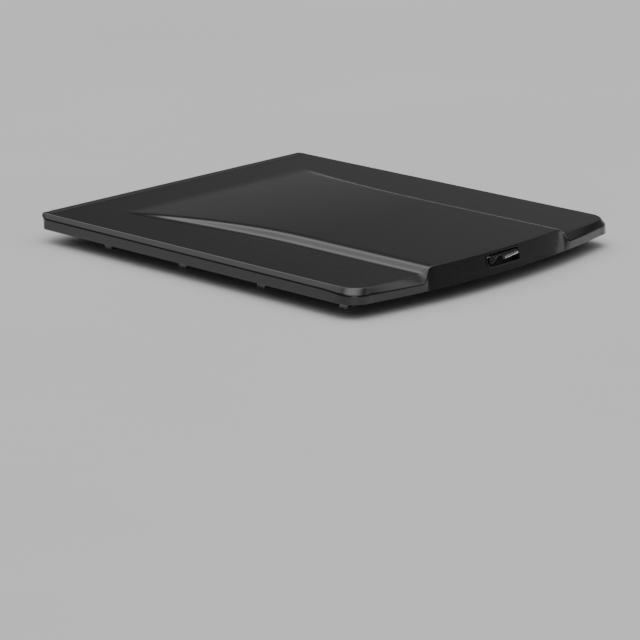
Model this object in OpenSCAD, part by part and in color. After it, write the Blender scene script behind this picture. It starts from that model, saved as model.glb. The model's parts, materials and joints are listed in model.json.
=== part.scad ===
// Front-hinged one-piece tonneau cover for a pickup bed, on its own clamp-on rails.
// +X is the truck's right, +Y points forward to the cab, +Z is up. The origin lies on the
// plane of the clamp feet, under the middle of the cover. All sizes are in millimetres.

/* [Cover] */
// Full width across the lower edge of the skirt
cover_w = 1850; // [1840:5:1860]
// Distance from the middle of the lid to its front edge
cover_half_l = 1076; // [1070:1:1080]
// Height of the flat deck above the lower edge of the skirt
skirt_h = 71; // [68:1:74]
// Rise of the centre panel above the deck
dome_h = 33; // [25:1:36]
// How far the rear edge bows out between its corners
rear_bow = 106; // [95:1:110]
// Thickness of the moulded skin
skin_t = 4; // [3:0.5:5]

/* [Rails] */
// Height of the truck's rail top above the clamp feet
rail_seat_z = 80; // [80:1:82]
// Distance from the centre line to the inner face of a side rail
rail_in_x = 756; // [754:1:758]
// Clamps on each side
clamp_count = 4; // [4:1:4]
// Distance between clamps along a rail
clamp_pitch = 510; // [500:5:515]

/* [Hinge and struts] */
// Distance from the middle of the cover forward to the lid's hinge axis
hinge_y = 1030; // [1028:1:1032]
// Height of the lid's hinge axis
hinge_z = 117; // [116.5:0.1:117]
// Distance from the centre line to a hinge
hinge_x = 600; // [560:5:620]
// Radius of the hinge pins
hinge_pin_r = 4; // [3.5:0.5:4]
// Distance from the centre line to a gas strut
strut_x = 700; // [699:1:701]

/* [Latches] */
// Distance from the centre line to a striker bar
striker_x = 730; // [730:1:730]
// Distance from the middle of the cover back to the latches
latch_back = 905; // [900:1:906]
// Radius of the lock plug
plug_r = 7; // [6:0.5:7]

/* [Hidden] */
$fn = 48;
gap = 0.3;
run_fit = 0.05;
sides = [-1, 1];

// Heights of the lid's layers
skirt_z = rail_seat_z - 8;
deck_z = skirt_z + skirt_h;
panel_z = rail_seat_z + 46;
panel_t = 3;
rail_top_z = rail_seat_z + 26;

// Plan of the lid
half_w = cover_w / 2;
lip_in = 29;
lip_x = half_w - lip_in;
shoulder_in = 7;
rear_shoulder_in = 2;
rear_mid_y = -1076;
corner_r = 110;
bow_k = rear_bow / pow(half_w, 2);

// Centre panel: starts at ramp_start_y, reaches full height at ramp_full_y
ramp_start_y = 763;
ramp_full_y = -272;
ramp_foot_front = 627;
ramp_foot_rear = 508;
ramp_crest_front = 603;
ramp_crest_rear = 460;
dome_rear_y = -1050;
lip_corner_y = -954;
deck_corner_y = -1005;
lip_corner_r = 85;
dome_bow = 0.9;

// Columns across the deck (share of each zone) and rows along it
edge_cols = 4;
foot_cols = 5;
ramp_cols = 3;
top_cols = 6;
deck_rows = 22;
bead_y = 1046;
bead_half = 26;
bead_h = 8;

// Handle pocket in the sloping rear face of the centre panel
face_tilt = -14;
face_y = -1059.3;
face_z = 139;
pocket_l = -110;
pocket_r = 114;
pocket_low = -32;
pocket_top = 26;
pocket_depth = 26;
wall_t = 2.5;
paddle_y = 8;
paddle_z = 12;
handle_pin_r = 3;
lock_x = -74;

// Bellcrank, rods and latches
crank_z = 112;
crank_y = face_y + 41.8;
crank_arm = 18;
crank_t = 4;
link_pin_r = 2.5;
rod_r = 3;
bend_r = 3.5;
rod_eye_y = crank_y + 5.5;
rod_line_y = -latch_back - 12;
rod_z = 112;
guide_x = [300, 480, 620];
latch_y = -latch_back;
striker_z = 74;
striker_r = 5;
rotor_arm = 20;
rotor_x = striker_x - rotor_arm;
rotor_t = 6;
rotor_open = 70;
rotor_rim = 15;
pawl_x = rotor_x - 22;
pawl_z = striker_z + 22;
pawl_lever = 16;
plate_t = 3;
pivot_r = 5;

// Clamps
clamp_w = 50;
clamp_x = 739;
clamp_first = -800;
clamp_y = [for (i = [0 : clamp_count - 1]) clamp_first + i * clamp_pitch];
foot_t = 12;
rail_rear = -930;
rail_front = 1058;

// Gas struts: lower pivot on the rail, upper pivot on the lid
strut_y = hinge_y - 120;
strut_z = hinge_z - 95;
strut_run = 399;
strut_rise = 97;
strut_len = sqrt(pow(strut_run, 2) + pow(strut_rise, 2));
strut_angle = atan2(strut_rise, strut_run);
lid_ball_y = hinge_y - 520;
lid_ball_z = hinge_z;
ball_r = 5;
cup_r = 11;
cup_in = 7.8;
tube_r = 9;
tube_in = 7.7;
tube_from = 16;
tube_to = 372;
strut_rod_r = 4;

// ---------- helpers ----------
// Box from two opposite corners
module block(a, b) {
    translate([min(a[0], b[0]), min(a[1], b[1]), min(a[2], b[2])])
        cube([abs(b[0] - a[0]), abs(b[1] - a[1]), abs(b[2] - a[2])]);
}

// Cylinders along X and along Y, centred on a point
module rod_x(p, r, l) {
    translate(p) rotate([0, 90, 0]) cylinder(r = r, h = l, center = true);
}
module rod_y(p, r, l) {
    translate(p) rotate([90, 0, 0]) cylinder(r = r, h = l, center = true);
}

// Hexagon-head bolt along +Z with its head on the plane z = 0
module hex_bolt(r, shank, head_r, head_t) {
    cylinder(r = head_r, h = head_t, $fn = 6);
    translate([0, 0, -shank]) cylinder(r = r, h = shank + head_t / 2);
}

// Low dome-head screw along +Z
module dome_screw(r, shank) {
    cylinder(r1 = 2 * r, r2 = 1.3 * r, h = r, $fn = 32);
    translate([0, 0, -shank]) cylinder(r = r, h = shank + r / 2);
}

// Round bar between two points
module bar(a, b, r) {
    d = b - a;
    l = norm(d);
    translate(a)
        rotate([0, acos(d[2] / l), atan2(d[1], d[0])])
            cylinder(r = r, h = l);
}

// Outline in X and Z, made solid along Y around y0
module plate_y(y0, t) {
    translate([0, y0 + t / 2, 0]) rotate([90, 0, 0]) linear_extrude(t) children();
}

// Copies on the right and, mirrored, on the left
module both() {
    children();
    mirror([1, 0, 0]) children();
}
module right_or_left(s) {
    if (s > 0) children();
    else mirror([1, 0, 0]) children();
}

// Rounded rectangle from its corners, with its own radius at the left and the right
module pocket_outline(l, r, low, top, r_left, r_right) {
    hull() {
        for (z = [low + r_left, top - r_left]) translate([l + r_left, z]) circle(r = r_left, $fn = 48);
        for (z = [low + r_right, top - r_right]) translate([r - r_right, z]) circle(r = r_right, $fn = 48);
    }
}

// The sloping frame of the rear face: X right, Y inward, Z up along the face
module face_frame() {
    translate([0, face_y, face_z]) rotate([face_tilt, 0, 0]) children();
}

// ---------- the lid's outer surface ----------
function clamp01(t) = min(1, max(0, t));
function rear_outline_y(x) = rear_mid_y + bow_k * x * x;
function rise(y) = y < ramp_full_y ? dome_h
    : y > ramp_start_y ? 0
    : dome_h * (1 - pow((y - ramp_full_y) / (ramp_start_y - ramp_full_y), 2));
function ramp_share(y) = clamp01((ramp_start_y - y) / (ramp_start_y - ramp_full_y));
function foot_x(y) = ramp_foot_front + (ramp_foot_rear - ramp_foot_front) * sin(90 * ramp_share(y));
function crest_x(y) = ramp_crest_front + (ramp_crest_rear - ramp_crest_front) * sin(90 * ramp_share(y));
function bead(y) = bead_h * pow(cos(90 * min(1, abs(y - bead_y) / bead_half)), 2);

// Half a row of columns: from the lip (u = 0) to the centre line (u = 4)
half_u = concat(
    [for (i = [0 : edge_cols - 1]) i / edge_cols],
    [for (i = [0 : foot_cols - 1]) 1 + i / foot_cols],
    [for (i = [0 : ramp_cols - 1]) 2 + i / ramp_cols],
    [for (i = [0 : top_cols]) 3 + i / top_cols]);
half_n = len(half_u);
cols = 2 * half_n - 1;
edge_x = 860;
function side_of(j) = j < half_n ? -1 : 1;
function u_of(j) = j < half_n ? half_u[j] : half_u[cols - 1 - j];
function col_x(u, y) =
    u < 1 ? lip_x + (edge_x - lip_x) * u
    : u < 2 ? edge_x + (foot_x(y) - edge_x) * (u - 1)
    : u < 3 ? foot_x(y) + (crest_x(y) - foot_x(y)) * (u - 2)
    : crest_x(y) * (4 - u);
function col_rise(u, y) = rise(y) * clamp01(u - 2);

// Rear edge of the centre panel: bowed nearly as much as the rear outline below it
function dome_edge_y(x) = dome_rear_y + dome_bow * bow_k * x * x;

// Rear end of each column: the deck's lip with its round corner, then the centre panel's crease
function rear_lip_y(u) =
    u <= 2 ? let (d = lip_x - col_x(u, dome_rear_y), t = clamp01(d / (lip_x - ramp_foot_rear)),
                  e = max(0, lip_corner_r - d))
        lip_corner_y + (deck_corner_y - lip_corner_y) * sqrt(t)
            + lip_corner_r - sqrt(lip_corner_r * lip_corner_r - e * e)
    : u < 3 ? deck_corner_y + (dome_edge_y(ramp_crest_rear) - deck_corner_y) * (u - 2)
    : dome_edge_y(col_x(u, dome_rear_y));

// Rows are closer together near the two ends
row_t = concat([0, 0.012, 0.024, 0.036, 0.05],
    [for (i = [1 : deck_rows - 1]) 0.05 + 0.95 * i / deck_rows], [0.972, 0.986, 1]);
rows = len(row_t);
function deck_point(i, j) =
    let (u = u_of(j), y = cover_half_l - row_t[i] * (cover_half_l - rear_lip_y(u)), x = col_x(u, y))
    [side_of(j) * x, y, deck_z + col_rise(u, y) + bead(y) * clamp01((lip_x - x) / 40)];

// Stations round the edge: along the front, down the right, along the rear, up the left
function edge_ij(k) =
    k < cols ? [0, k]
    : k < cols + rows - 1 ? [k - cols + 1, cols - 1]
    : k < 2 * cols + rows - 2 ? [rows - 1, 2 * cols + rows - 3 - k]
    : [2 * cols + 2 * rows - 4 - k, 0];
stations = 2 * cols + 2 * rows - 4;

// Plan of the skirt below a lip point: straight sides, bowed rear, round rear corners
corner_x = half_w - corner_r;
corner_y = rear_outline_y(corner_x) + corner_r;
function arc_run(d, inset) = sqrt(max(0, pow(corner_r - inset, 2) - d * d));
function side_xy(p, inset) =
    [sign(p[0]) * max(lip_x + 2, corner_x + arc_run(max(0, corner_y - p[1]), inset)), p[1]];
function rear_xy(p, inset) =
    let (out = abs(p[0]) - corner_x)
    [p[0], min(p[1] - 2, out > 0 ? corner_y - arc_run(out, inset) : rear_outline_y(p[0]) + inset)];
function in_front(k) = k < cols;
function at_rear(k) = k >= cols + rows - 2 && k < 2 * cols + rows - 2;
function lip_point(k) = deck_point(edge_ij(k)[0], edge_ij(k)[1]);
function u_at(k) = u_of(edge_ij(k)[1]);
front_skirt_z = deck_z - 25;
// How far a rear station belongs to the tall face under the centre panel
function face_share(k) = clamp01(u_at(k) - 2);

// Height at which the near-vertical face meets the bevel
function shoulder_z(k) =
    in_front(k) ? deck_z - 10
    : at_rear(k) ? deck_z - 33 + 60 * face_share(k)
    : deck_z - 21;
function skirt_xy(k, inset) = at_rear(k) ? rear_xy(lip_point(k), inset) : side_xy(lip_point(k), inset);
function shoulder_xy(k) =
    let (p = lip_point(k), q = skirt_xy(k, at_rear(k) ? rear_shoulder_in : shoulder_in),
         t = at_rear(k) ? face_share(k) : 0)
    [q[0], q[1] + (p[1] - 1.5 - q[1]) * t];
function front_xy(k, out) = [lip_point(k)[0] * (1 + out / 300), cover_half_l - 2 + out];
function ring_point(k, r) =
    in_front(k) ? let (q = front_xy(k, r == 0 ? 1 : 2)) [q[0], q[1], r == 0 ? front_skirt_z : shoulder_z(k)]
    : r == 0 ? concat(skirt_xy(k, 0), skirt_z)
    : concat(shoulder_xy(k), shoulder_z(k));

function shrink(p) = let (sx = (half_w - skin_t) / half_w, sy = (cover_half_l - skin_t) / cover_half_l)
    [p[0] * sx, p[1] * sy, max(skirt_z, p[2] - skin_t)];

// ---------- the lid ----------
module lid_solid() {
    deck = [for (i = [0 : rows - 1]) for (j = [0 : cols - 1]) deck_point(i, j)];
    low = [for (k = [0 : stations - 1]) ring_point(k, 0)];
    mid = [for (k = [0 : stations - 1]) ring_point(k, 1)];
    nd = rows * cols;
    outer = concat(deck, low, mid);
    n = len(outer);
    inner_low = [for (p = low) let (q = shrink(p)) [q[0], q[1], p[2]]];
    inner = concat([for (p = deck) shrink(p)], inner_low, [for (p = mid) shrink(p)]);
    deck_faces = [for (i = [0 : rows - 2]) for (j = [0 : cols - 2])
        let (a = i * cols + j, b = a + 1, c = a + cols, d = c + 1)
        each (j < half_n - 1 ? [[a, b, d], [a, d, c]] : [[a, b, c], [b, d, c]])];
    function lip_index(k) = edge_ij(k)[0] * cols + edge_ij(k)[1];
    side_faces = [for (k = [0 : stations - 1])
        let (m = (k + 1) % stations, a = nd + k, b = nd + m, c = nd + stations + k,
             d = nd + stations + m, e = lip_index(k), f = lip_index(m))
        each [[a, b, d], [a, d, c], [c, d, f], [c, f, e]]];
    rim_faces = [for (k = [0 : stations - 1])
        let (m = (k + 1) % stations, a = nd + k, b = nd + m)
        each [[b, a, n + a], [b, n + a, n + b]]];
    half_faces = concat(deck_faces, side_faces);
    flipped = [for (t = half_faces) [t[0] + n, t[2] + n, t[1] + n]];
    polyhedron(points = concat(outer, inner), faces = concat(half_faces, flipped, rim_faces));
}

module lid_skin() {
    color([0.03, 0.03, 0.035])
    difference() {
        lid_solid();
        face_frame() translate([0, 40, 0]) rotate([90, 0, 0]) linear_extrude(80)
            pocket_outline(pocket_l - wall_t - 1, pocket_r + wall_t + 1,
                           pocket_low - wall_t - 1, pocket_top + wall_t + 1, 28, 9);
    }
}

// Room over the upper end of a gas strut
module strut_recess() {
    block([strut_x - 9, lid_ball_y - 17, panel_z - 1], [strut_x + 9, lid_ball_y + 18, 131.5]);
}

// Bonded honeycomb core between the skin and the inner panel
module core_panel() {
    color([0.55, 0.5, 0.38]) difference() {
        block([-865, -930, panel_z + panel_t], [865, 1020, deck_z - skin_t - 1]);
        both() lid_screws(true);
        both() strut_recess();
    }
}

module inner_panel() {
    color([0.1, 0.1, 0.11]) difference() {
        block([-870, -940, panel_z], [870, 1055, panel_z + panel_t]);
        both() lid_screws(true);
        both() strut_recess();
    }
}

// Hat sections bonded across the underside of the panel
rib_y = [-700, -300, 100, 460, 890];
module cross_ribs() {
    color([0.13, 0.13, 0.14])
    for (y = rib_y)
        translate([-640, y, panel_z]) rotate([90, 0, 90]) linear_extrude(1280) difference() {
            polygon([[-45, 0], [-45, -2], [-28, -2], [-20, -10], [20, -10], [28, -2], [45, -2], [45, 0]]);
            polygon([[-25, 0], [-18, -8], [18, -8], [25, 0]]);
        }
}

// Stiffening beams along the rear edge, one on each side of the handle
beam_from = 135;
beam_to = 700;
beam_steps = 10;
beam_half = 15;
beam_z = panel_z - 16;
function beam_y(x) = -1020 + bow_k * x * x;
function beam_x(i) = beam_from + (beam_to - beam_from) * i / beam_steps;
module beam_plan(half) {
    polygon(concat(
        [for (i = [0 : beam_steps]) [beam_x(i), beam_y(beam_x(i)) - half]],
        [for (i = [beam_steps : -1 : 0]) [beam_x(i), beam_y(beam_x(i)) + half]]));
}
module rear_beams() {
    color([0.13, 0.13, 0.14]) both() difference() {
        translate([0, 0, beam_z]) linear_extrude(deck_z - skin_t - 3 - beam_z) beam_plan(beam_half);
        translate([0, 0, beam_z + 3]) linear_extrude(40) beam_plan(beam_half - 3);
    }
}

// Rubber seals: bulbs along both rails and the front, and a tall one on the tailgate's top
module bulb(l) {
    translate([0, l / 2, 0]) rotate([90, 0, 0]) linear_extrude(l) difference() {
        union() {
            translate([0, 10]) circle(r = 9.7);
            translate([-9, 12]) square([18, 7.7]);
        }
        translate([0, 9.5]) circle(r = 7);
    }
}
seal_rear = -925;
seal_front = 984;
module side_seals() {
    color([0.05, 0.05, 0.05]) {
        both() translate([832, (seal_rear + seal_front) / 2, rail_top_z]) bulb(seal_front - seal_rear);
        difference() {
            translate([0, seal_front + 10.3, rail_top_z]) rotate([0, 0, 90]) bulb(2 * 842);
            both() block([hinge_x - 29, seal_front - 1, rail_top_z - 1],
                         [hinge_x + 29, seal_front + 22, panel_z + 1]);
        }
    }
}
module tailgate_seal() {
    color([0.05, 0.05, 0.05]) both() difference() {
        translate([0, 0, rail_seat_z + gap]) linear_extrude(beam_z - rail_seat_z - gap) beam_plan(10);
        translate([0, 0, rail_seat_z + 4]) linear_extrude(beam_z - rail_seat_z - 7) beam_plan(6.5);
    }
}

// ---------- rails and clamps ----------
module rail_section() {
    b = rail_seat_z + 3;
    t = rail_top_z;
    x = rail_in_x;
    difference() {
        polygon([[x, b - 33], [x + 16, b - 33], [x + 16, b], [x + 96, b], [x + 96, t], [x, t]]);
        translate([x + 19, b + 3]) square([74, t - b - 6]);
        translate([x + 3, b - 5]) square([13, t - b + 2]);
        polygon([[x - 1, b - 21], [x + 3, b - 21], [x + 3, b - 26], [x + 11, b - 26],
                 [x + 11, b - 8], [x + 3, b - 8], [x + 3, b - 13], [x - 1, b - 13]]);
    }
}
module side_rail() {
    color([0.16, 0.16, 0.17]) difference() {
        translate([0, rail_front, 0]) rotate([90, 0, 0])
            linear_extrude(rail_front - rail_rear) rail_section();
        corner_screws(true);
        strut_screws(true);
        striker_screws(true);
    }
}
module header_rail() {
    color([0.16, 0.16, 0.17]) difference() {
        translate([-rail_in_x + 0.5, seal_front, rail_seat_z + 3]) rotate([90, 0, 90])
            linear_extrude(2 * rail_in_x - 1) difference() {
                square([rail_front - seal_front, 23]);
                translate([3, 3]) square([32, 17]);
                translate([38, 3]) square([33, 17]);
            }
        both() {
            corner_screws(true);
            hinge_screws(true);
        }
    }
}
module corner_brackets() {
    color([0.5, 0.5, 0.52]) both() difference() {
        union() {
            block([rail_in_x - 4.3, seal_front - 50, 84], [rail_in_x - gap, seal_front - gap, 104]);
            block([rail_in_x - 60, seal_front - 4.3, 84], [rail_in_x - 4.3, seal_front - gap, 104]);
        }
        corner_screws(true);
    }
}
module rail_tape() {
    color([0.08, 0.08, 0.08]) {
        both() block([rail_in_x + 18, rail_rear + 5, rail_seat_z],
                     [rail_in_x + 94, rail_front - 5, rail_seat_z + 3]);
        block([-740, seal_front + 4, rail_seat_z], [740, rail_front - 4, rail_seat_z + 3]);
    }
}

module clamp_bodies() {
    x = rail_in_x;
    color([0.62, 0.62, 0.64]) both() for (y = clamp_y) difference() {
        union() {
            block([722, y - clamp_w / 2, 56], [x - gap, y + clamp_w / 2, 82]);
            block([x - 1, y - clamp_w / 2, 62.5], [x + 5, y + clamp_w / 2, 69.5]);
            block([x + 3.4, y - clamp_w / 2, 58], [x + 10, y + clamp_w / 2, 74]);
            block([722, y - 8, 82], [x - gap, y + 8, 86]);
        }
        translate([clamp_x, y, 50]) cylinder(r = strut_rod_r + run_fit, h = 60);
    }
}
module clamp_jaws() {
    tooth_x = rail_in_x + 24;
    color([0.62, 0.62, 0.64]) both() for (y = clamp_y) difference() {
        union() {
            block([726, y - clamp_w / 2, 0], [tooth_x + 12, y + clamp_w / 2, foot_t]);
            block([726, y - clamp_w / 2, foot_t - 1], [752, y + clamp_w / 2, 38]);
            block([tooth_x, y - clamp_w / 2, foot_t - 1], [tooth_x + 9, y + clamp_w / 2, 44]);
        }
        translate([clamp_x, y, -1]) cylinder(r = strut_rod_r + run_fit, h = 60);
        translate([clamp_x, y, -1]) cylinder(r = 7.6, h = 9.4);
    }
}
module clamp_bolts() {
    color([0.72, 0.72, 0.74]) both() for (y = clamp_y) translate([clamp_x, y, 0]) {
        translate([0, 0, 86]) hex_bolt(strut_rod_r, 85, 6.5, 5.3);
        translate([0, 0, 1.5]) difference() {
            cylinder(r = 7.3, h = 6.5, $fn = 6);
            translate([0, 0, -1]) cylinder(r = strut_rod_r + run_fit, h = 9);
        }
    }
}
// A screw with its head on the plane z = 0, or the hole that it needs
module screw(r, shank, as_hole) {
    if (as_hole) translate([0, 0, -shank - 1]) cylinder(r = r + run_fit, h = shank + 2);
    else dome_screw(r, shank);
}
// Screws of the frame on the right side, group by group
module corner_screws(as_hole) {
    for (y = [seal_front - 42, seal_front - 20])
        translate([rail_in_x - 4.3, y, 94]) rotate([0, -90, 0]) screw(3, 6, as_hole);
    for (x = [rail_in_x - 45, rail_in_x - 20])
        translate([x, seal_front - 4.3, 94]) rotate([90, 0, 0]) screw(3, 6, as_hole);
}
module hinge_screws(as_hole) {
    for (dx = [-20, 20]) for (y = [hinge_y - 16, hinge_y + 16])
        translate([hinge_x + dx, y, rail_top_z + 3]) screw(2.5, 8, as_hole);
}
module strut_screws(as_hole) {
    for (dy = [-13, 13])
        translate([rail_in_x - 4.3, strut_y + dy, 90]) rotate([0, -90, 0]) screw(3, 6, as_hole);
}
module striker_screws(as_hole) {
    for (dy = [-12, 12])
        translate([rail_in_x - 4.3, latch_y + dy, 94]) rotate([0, -90, 0]) screw(3, 6, as_hole);
}
module frame_bolts() {
    color([0.72, 0.72, 0.74]) both() {
        corner_screws(false);
        hinge_screws(false);
        strut_screws(false);
        striker_screws(false);
    }
}

// ---------- hinges ----------
lug_half = 8;
ear_t = 4;
ear_r = 8;
module hinge_brackets() {
    color([0.62, 0.62, 0.64]) both() translate([hinge_x, 0, 0]) difference() {
        union() {
            block([-26, hinge_y - 24, rail_top_z], [26, hinge_y + 24, rail_top_z + 3]);
            for (s = sides) {
                rod_x([s * (lug_half + 0.5 + ear_t / 2), hinge_y, hinge_z], ear_r, ear_t);
                translate([s * (lug_half + 0.5 + ear_t / 2), hinge_y, (rail_top_z + hinge_z) / 2])
                    cube([ear_t, 2 * ear_r, hinge_z - rail_top_z], center = true);
            }
        }
        rod_x([0, hinge_y, hinge_z], hinge_pin_r + run_fit, 60);
        translate([-hinge_x, 0, 0]) hinge_screws(true);
    }
}
module hinge_pins() {
    color([0.75, 0.75, 0.77]) both() {
        rod_x([hinge_x, hinge_y, hinge_z], hinge_pin_r, 34);
        rod_x([hinge_x + 17.5, hinge_y, hinge_z], 6.5, 3);
    }
}
module hinge_clips() {
    color([0.3, 0.3, 0.32]) both() difference() {
        rod_x([hinge_x - 14.4, hinge_y, hinge_z], 6.5, 1.2);
        rod_x([hinge_x - 14.4, hinge_y, hinge_z], hinge_pin_r + run_fit, 4);
        block([hinge_x - 16, hinge_y - 2, hinge_z], [hinge_x - 12, hinge_y + 2, hinge_z - 9]);
    }
}
bush_r = 5.5;
module hinge_leaves() {
    color([0.62, 0.62, 0.64]) both() translate([hinge_x, 0, 0]) difference() {
        union() {
            block([-28, hinge_y - 90, panel_z - 4], [28, hinge_y - 20, panel_z]);
            block([-lug_half, hinge_y - 40, panel_z - 10], [lug_half, hinge_y - 4, panel_z]);
            rod_x([0, hinge_y, hinge_z], ear_r, 2 * lug_half);
            block([-lug_half, hinge_y - 22, hinge_z - 6], [lug_half, hinge_y, hinge_z + ear_r - 0.05]);
        }
        rod_x([0, hinge_y, hinge_z], bush_r, 60);
        translate([-hinge_x, 0, 0]) leaf_screws(true);
    }
}
module hinge_bushes() {
    color([0.85, 0.83, 0.75]) both() difference() {
        rod_x([hinge_x, hinge_y, hinge_z], bush_r, 2 * lug_half);
        rod_x([hinge_x, hinge_y, hinge_z], hinge_pin_r + run_fit, 60);
    }
}

// ---------- gas struts ----------
// Local frame of a strut: origin at its lower pivot, +X along the strut to the rear
module strut_frame(s) {
    translate([s * strut_x, strut_y, strut_z]) rotate([0, 0, -90])
        rotate([0, -strut_angle, 0]) children();
}
module strut_rail_brackets() {
    color([0.62, 0.62, 0.64]) both() {
        difference() {
            union() {
                block([rail_in_x - 4.3, strut_y - 22, 51], [rail_in_x - gap, strut_y + 22, 103]);
                block([716, strut_y - 22, 51], [rail_in_x - 3, strut_y + 22, 55]);
                block([716, strut_y - 14, 10], [720, strut_y + 14, 55]);
            }
            strut_screws(true);
        }
    }
}
module ball_stud(x, y, z, from) {
    color([0.75, 0.75, 0.77]) {
        translate([x, y, z]) rotate([0, 0, 90]) sphere(r = ball_r);
        rod_x([(x + from) / 2, y, z], 2.8, abs(from - x));
    }
}
module rail_ball_studs() {
    both() ball_stud(strut_x, strut_y, strut_z, 716);
}
module lid_ball_studs() {
    both() ball_stud(strut_x, lid_ball_y, lid_ball_z, 682);
}
module strut_lid_brackets() {
    color([0.62, 0.62, 0.64]) both() difference() {
        union() {
            block([650, lid_ball_y - 20, panel_z - 4], [682, lid_ball_y + 20, panel_z]);
            block([678, lid_ball_y - 9, lid_ball_z - 9], [682, lid_ball_y + 9, panel_z]);
        }
        ball_bracket_screws(true);
    }
}
// Ball cup, open on both sides along X so that the stud can swing
module ball_cup(tail) {
    difference() {
        union() {
            rotate([90, 0, 0]) cylinder(r = cup_r, h = 12, center = true);
            rotate([0, 90, 0]) cylinder(r = 6, h = tail);
        }
        rotate([90, 0, 0]) cylinder(r = cup_in, h = 30, center = true);
    }
}
module tube_end(s) {
    color([0.07, 0.07, 0.08]) strut_frame(s) ball_cup(tube_from);
}
module strut_tube(s) {
    color([0.05, 0.05, 0.055]) strut_frame(s) difference() {
        translate([tube_from, 0, 0]) rotate([0, 90, 0]) cylinder(r = tube_r, h = tube_to - tube_from);
        translate([tube_from + 4, 0, 0]) rotate([0, 90, 0])
            cylinder(r = tube_in, h = tube_to - tube_from - 12);
        translate([tube_from + 40, 0, 0]) rotate([0, 90, 0]) cylinder(r = strut_rod_r + run_fit, h = tube_to);
    }
}
module strut_rod(s) {
    rod_from = tube_from + 30;
    color([0.78, 0.78, 0.8]) strut_frame(s) {
        translate([rod_from, 0, 0]) rotate([0, 90, 0])
            cylinder(r = strut_rod_r, h = strut_len - cup_r + 1 - rod_from);
        translate([rod_from, 0, 0]) rotate([0, 90, 0]) cylinder(r = tube_in - run_fit, h = 10);
    }
}
module rod_end(s) {
    color([0.07, 0.07, 0.08]) strut_frame(s) translate([strut_len, 0, 0]) difference() {
        union() {
            rotate([90, 0, 0]) cylinder(r = cup_r, h = 12, center = true);
            rotate([0, -90, 0]) translate([0, 0, cup_in + 1]) cylinder(r = 6, h = 9);
        }
        rotate([90, 0, 0]) cylinder(r = cup_in, h = 30, center = true);
        rotate([0, -90, 0]) translate([0, 0, cup_r - 1]) cylinder(r = strut_rod_r + run_fit, h = 30);
    }
}

// ---------- strikers and latches ----------
module striker_brackets() {
    color([0.62, 0.62, 0.64]) both() {
        difference() {
            block([rail_in_x - 4.3, latch_y - 19, 64], [rail_in_x - gap, latch_y + 19, 104]);
            striker_screws(true);
        }
        for (s = sides) difference() {
            block([rail_in_x - 3, latch_y + s * 16, 64], [720, latch_y + s * 19, 86]);
            rod_y([striker_x, latch_y, striker_z], striker_r + run_fit, 60);
        }
    }
}
module striker_bars() {
    color([0.78, 0.78, 0.8]) both() rod_y([striker_x, latch_y, striker_z], striker_r, 40);
}

case_half = rotor_t / 2 + 0.4;
module case_plate(y0, windowed) {
    plate_y(y0, plate_t) difference() {
        polygon([[664, panel_z], [664, 100], [684, 62], [748, 62], [748, 90], [742, panel_z]]);
        hull() {
            translate([striker_x, striker_z + 4]) circle(r = 8, $fn = 32);
            translate([striker_x, striker_z - 40]) circle(r = 8, $fn = 32);
        }
        if (windowed) translate([pawl_x - 16, rod_z - 7]) square([21, 12]);
    }
}
module latch_case(s) {
    color([0.62, 0.62, 0.64]) right_or_left(s) difference() {
        union() {
            case_plate(latch_y - case_half - plate_t / 2, true);
            case_plate(latch_y + case_half + plate_t / 2, false);
            block([664, latch_y - 20, panel_z - plate_t], [742, latch_y + 20, panel_z]);
        }
        rod_y([rotor_x, latch_y, striker_z], pivot_r + run_fit, 60);
        rod_y([pawl_x, latch_y, pawl_z], pivot_r + run_fit, 60);
        case_screws(true);
    }
}
module latch_pivots() {
    color([0.72, 0.72, 0.74]) both() {
        for (p = [[rotor_x, striker_z], [pawl_x, pawl_z]]) {
            rod_y([p[0], latch_y, p[1]], pivot_r, 2 * (case_half + plate_t) + 3);
            for (e = sides)
                rod_y([p[0], latch_y + e * (case_half + plate_t + 1), p[1]], pivot_r + 1.5, 2);
        }
    }
}
// Hook that swings up under the striker bar, with a notched rim for the pawl
module rotor_outline() {
    difference() {
        union() {
            circle(r = rotor_rim);
            difference() {
                translate([rotor_arm - 3, -3]) circle(r = 17);
                translate([rotor_arm - 30, 0]) square([80, 40]);
            }
        }
        translate([rotor_arm, 0]) circle(r = 7.5);
        translate([rotor_arm - 7.5, 0]) square([60, 20]);
        rotate(38) translate([10, -2]) square([10, 4]);
    }
}
module rotor(s) {
    color([0.7, 0.7, 0.66]) right_or_left(s) difference() {
        translate([rotor_x, 0, striker_z]) rotate([0, rotor_open, 0])
            plate_y(latch_y, rotor_t) rotor_outline();
        rod_y([rotor_x, latch_y, striker_z], pivot_r + run_fit, 60);
    }
}
module pawl(s) {
    tip = [rotor_x - 2.7, striker_z + rotor_rim + 0.7];
    color([0.7, 0.7, 0.66]) right_or_left(s) {
        difference() {
            plate_y(latch_y, rotor_t) union() {
                translate([pawl_x, pawl_z]) circle(r = 9);
                polygon([[pawl_x - 2, pawl_z + 8], [tip[0] + 2, tip[1] + 6], tip + [2, 0], tip,
                         [pawl_x + 6, pawl_z - 7]]);
                translate([pawl_x - 5, pawl_z]) square([10, pawl_lever]);
                translate([pawl_x, pawl_z + pawl_lever]) circle(r = 5);
            }
            rod_y([pawl_x, latch_y, pawl_z], pivot_r + run_fit, 60);
        }
        rod_y([pawl_x, latch_y - 9, rod_z], link_pin_r, 20);
    }
}

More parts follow.
